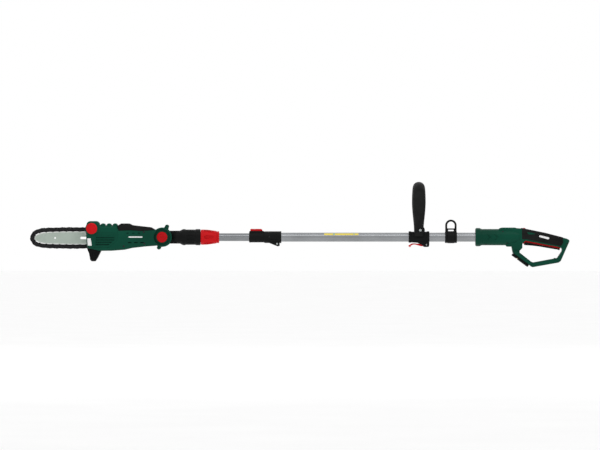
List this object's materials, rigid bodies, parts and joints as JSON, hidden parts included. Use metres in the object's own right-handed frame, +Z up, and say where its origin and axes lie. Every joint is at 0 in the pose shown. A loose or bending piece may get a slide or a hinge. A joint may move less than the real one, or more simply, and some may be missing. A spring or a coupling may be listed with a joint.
{
  "type": "telescoping pole saw",
  "caption": "Battery pole saw: short guide bar on a tilting motor head, a two-part telescoping aluminium pole, a sliding D-shaped front handle and a looped rear handle with trigger.",
  "frame": {"origin": "centre of the bounding box at its lowest level, under the middle of the tool", "axes": "+X from the bar tip to the rear handle along the pole, +Y towards the sprocket cover, +Z up towards the front handle's loop"},
  "size_m": [1.7785, 0.15, 0.2802],
  "materials": {
    "green_plastic": "satin",
    "red_plastic": "satin",
    "black_plastic": "matte",
    "soft_rubber": "matte",
    "tube_aluminium": "brushed",
    "bar_steel": "brushed",
    "chain_steel": "satin",
    "steel": "satin",
    "brass": "satin",
    "board_green": "matte",
    "tank_plastic": "satin"
  },
  "bodies": {
    "pole": {"outer_tube": "tube_aluminium", "coiled_lead": "soft_rubber", "telescope_clamp": "black_plastic", "release_spring": "steel", "clamp_screw": "steel", "strap_eye": "black_plastic", "strap_band": "black_plastic", "rear_housing_left": "green_plastic", "rear_housing_right": "green_plastic", "soft_grip_left": "soft_rubber", "soft_grip_right": "soft_rubber", "trigger_pin": "steel", "trigger_spring": "steel", "micro_switch": "black_plastic", "lock_spring": "steel", "control_board": "board_green", "battery_rails": "black_plastic", "battery_terminals": "brass"},
    "boom": {"inner_tube": "tube_aluminium", "slide_bush": "black_plastic", "neck_left": "black_plastic", "neck_right": "black_plastic", "collet": "black_plastic"},
    "union_nut": {"union_nut": "red_plastic"},
    "head": {"head_housing_left": "green_plastic", "head_housing_right": "green_plastic", "head_grip_insert": "soft_rubber", "saw_chain": "chain_steel", "shaft_bearing": "steel", "motor": "steel", "oil_cap_seal": "soft_rubber", "oil_tank": "tank_plastic", "oil_pump": "black_plastic", "branch_hook": "black_plastic", "sprocket_cover": "black_plastic", "bar_stud": "steel", "tilt_lock_star": "steel", "tilt_spring": "steel", "tilt_bolt": "steel"},
    "bar": {"guide_bar": "bar_steel", "tension_pin": "steel"},
    "nose_wheel": {"nose_sprocket": "steel"},
    "drive_shaft": {"sprocket_shaft": "steel", "bevel_gear": "steel", "drive_sprocket": "steel"},
    "rotor": {"motor_shaft": "steel"},
    "tension_screw": {"tension_screw": "steel"},
    "cover_knob": {"cover_knob": "red_plastic"},
    "oil_cap": {"oil_cap": "red_plastic"},
    "tilt_button": {"tilt_button": "red_plastic"},
    "release_button": {"release_button": "red_plastic"},
    "carriage": {"handle_carriage": "black_plastic", "lever_pin": "steel"},
    "front_handle": {"front_handle": "soft_rubber", "pivot_bolt": "steel", "pivot_nut": "steel"},
    "clamp_lever": {"clamp_lever": "red_plastic"},
    "trigger": {"trigger": "red_plastic", "trigger_pad": "soft_rubber"},
    "lock_button": {"lock_button": "red_plastic"}
  },
  "joints": [
    {"name": "telescope", "type": "slide", "parent": "pole", "child": "boom", "axis": [-1, 0, 0], "range_m": [-0.085, 0.5], "deforming": ["coiled_lead"]},
    {"name": "head_tilt", "type": "hinge", "parent": "boom", "child": "head", "pos_m": [-0.4544, 0, 0.0995], "axis": [0, -1, 0], "range_deg": [-30, 60]},
    {"name": "union_nut_turn", "type": "hinge", "parent": "boom", "child": "union_nut", "pos_m": [-0.297, 0, 0.0995], "axis": [1, 0, 0], "range_deg": [0, 270]},
    {"name": "bar_tension", "type": "slide", "parent": "head", "child": "bar", "axis": [-1, 0, 0], "range_m": [-0.0005, 0.0005]},
    {"name": "tension_screw_turn", "type": "hinge", "parent": "head", "child": "tension_screw", "pos_m": [-0.694, 0.013, 0.1092], "axis": [1, 0, 0], "range_deg": [-258, 258]},
    {"name": "cover_knob_turn", "type": "hinge", "parent": "head", "child": "cover_knob", "pos_m": [-0.6884, 0.044, 0.0967], "axis": [0, 1, 0], "range_deg": [0, 360]},
    {"name": "oil_cap_turn", "type": "hinge", "parent": "head", "child": "oil_cap", "pos_m": [-0.6857, -0.036, 0.1279], "axis": [0, -1, 0], "range_deg": [0, 270]},
    {"name": "sprocket_spin", "type": "hinge", "parent": "head", "child": "drive_shaft", "pos_m": [-0.6544, 0.02, 0.0967], "axis": [0, 1, 0], "continuous": true},
    {"name": "motor_spin", "type": "hinge", "parent": "head", "child": "rotor", "pos_m": [-0.576, 0, 0.0967], "axis": [1, 0, 0], "continuous": true},
    {"name": "nose_spin", "type": "hinge", "parent": "bar", "child": "nose_wheel", "pos_m": [-0.8604, 0.026, 0.0967], "axis": [0, 1, 0], "continuous": true},
    {"name": "tilt_button_press", "type": "slide", "parent": "head", "child": "tilt_button", "axis": [0, 1, 0], "range_m": [0, 0.003], "stiffness_N_per_m": 800, "springref_m": -0.002, "deforming": ["tilt_spring"]},
    {"name": "release_press", "type": "slide", "parent": "pole", "child": "release_button", "axis": [0, 0, -1], "range_m": [0, 0.002], "stiffness_N_per_m": 800, "springref_m": -0.002, "deforming": ["release_spring"]},
    {"name": "handle_slide", "type": "slide", "parent": "pole", "child": "carriage", "axis": [1, 0, 0], "range_m": [-0.36, 0.045]},
    {"name": "handle_tilt", "type": "hinge", "parent": "carriage", "child": "front_handle", "pos_m": [0.396, 0, 0.1224], "axis": [0, 1, 0], "range_deg": [-35, 35]},
    {"name": "lever_open", "type": "hinge", "parent": "carriage", "child": "clamp_lever", "pos_m": [0.4168, 0, 0.0743], "axis": [0, -1, 0], "range_deg": [0, 100]},
    {"name": "trigger_pull", "type": "hinge", "parent": "pole", "child": "trigger", "pos_m": [0.8505, 0, 0.0735], "axis": [0, 1, 0], "range_deg": [0, 3.5], "stiffness_Nm_per_rad": 3, "springref_deg": -2.86, "deforming": ["trigger_spring"]},
    {"name": "lock_press", "type": "slide", "parent": "pole", "child": "lock_button", "axis": [0, 0, -1], "range_m": [0, 0.003], "stiffness_N_per_m": 600, "springref_m": -0.002, "deforming": ["lock_spring"]}
  ],
  "couplings": [
    {"joint": "motor_spin", "follows": "sprocket_spin", "ratio": -2.625},
    {"joint": "nose_spin", "follows": "sprocket_spin", "ratio": 0.6667},
    {"joint": "tension_screw_turn", "follows": "bar_tension", "rad_per_m": 8976}
  ]
}
